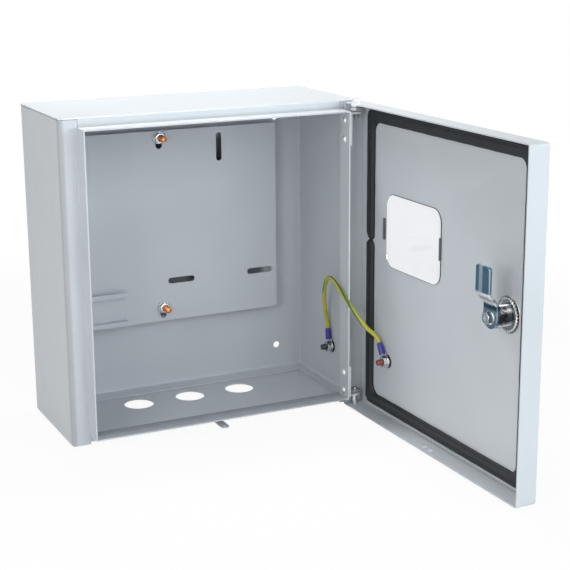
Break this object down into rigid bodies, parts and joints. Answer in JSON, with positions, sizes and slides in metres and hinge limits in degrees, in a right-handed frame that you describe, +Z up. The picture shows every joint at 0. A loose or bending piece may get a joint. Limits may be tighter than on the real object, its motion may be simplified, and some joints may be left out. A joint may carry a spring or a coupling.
{
  "type": "electrical cabinet",
  "caption": "Shallow wall cabinet of folded sheet steel with a hinged door, window, key lock, mounting panel and earthing wire.",
  "frame": {"origin": "middle of the four wall holes, on the back face", "axes": "+X to the cabinet's right seen from the front, +Y out of the back towards the wall, +Z up"},
  "size_m": [0.3146, 0.4315, 0.314],
  "materials": {
    "powder_coat": "fine orange-peel light grey powder coat",
    "panel_coat": "smooth light grey powder coat",
    "zinc": "bright zinc plating",
    "rail_zinc": "zinc plated strip",
    "copper_stud": "copper plated steel",
    "chrome": "satin chrome",
    "gasket_foam": "foamed dark grey elastomer",
    "seal_rubber": "black rubber",
    "clear_pane": "clear plastic",
    "terminal_tin": "tinned copper",
    "sleeve_blue": "blue vinyl",
    "wire_sheath": "yellow and green striped vinyl"
  },
  "bodies": {
    "cabinet": {"cabinet_shell": "powder_coat", "top_plate": "powder_coat", "bottom_plate": "powder_coat", "seal_lug": "powder_coat", "mounting_panel": "panel_coat", "din_rail": "rail_zinc", "panel_studs": "copper_stud", "panel_spacers": "zinc", "panel_washers": "zinc", "panel_nuts": "zinc", "cabinet_earth_stud": "copper_stud", "cabinet_earth_washer": "zinc", "cabinet_earth_nut": "zinc", "cabinet_cable_terminal": "terminal_tin", "cabinet_terminal_sleeve": "sleeve_blue", "earth_wire": "wire_sheath", "upper_hinge_bracket": "zinc", "lower_hinge_bracket": "zinc", "bracket_rivets": "zinc"},
    "door": {"door_shell": "powder_coat", "door_gasket": "gasket_foam", "window_pane": "clear_pane", "upper_hinge_bolt": "zinc", "lower_hinge_bolt": "zinc", "hinge_nuts": "zinc", "door_earth_stud": "copper_stud", "door_earth_washer": "zinc", "door_earth_nut": "zinc", "door_cable_terminal": "terminal_tin", "door_terminal_sleeve": "sleeve_blue", "lock_housing": "chrome", "lock_seal": "seal_rubber", "lock_ring_nut": "chrome"},
    "latch": {"lock_plug": "chrome", "latch_cam": "zinc", "cam_washer": "zinc", "cam_bolt": "zinc"}
  },
  "joints": [
    {"name": "door_hinge", "type": "hinge", "parent": "cabinet", "child": "door", "pos_m": [0.1433, -0.1384, 0], "axis": [0, 0, 1], "range_deg": [-91, 1], "deforming": ["earth_wire"]},
    {"name": "key_turn", "type": "hinge", "parent": "door", "child": "latch", "pos_m": [0.1442, -0.38472, 0.0012], "axis": [0.9998, 0.0175, 0], "range_deg": [0, 90]}
  ]
}
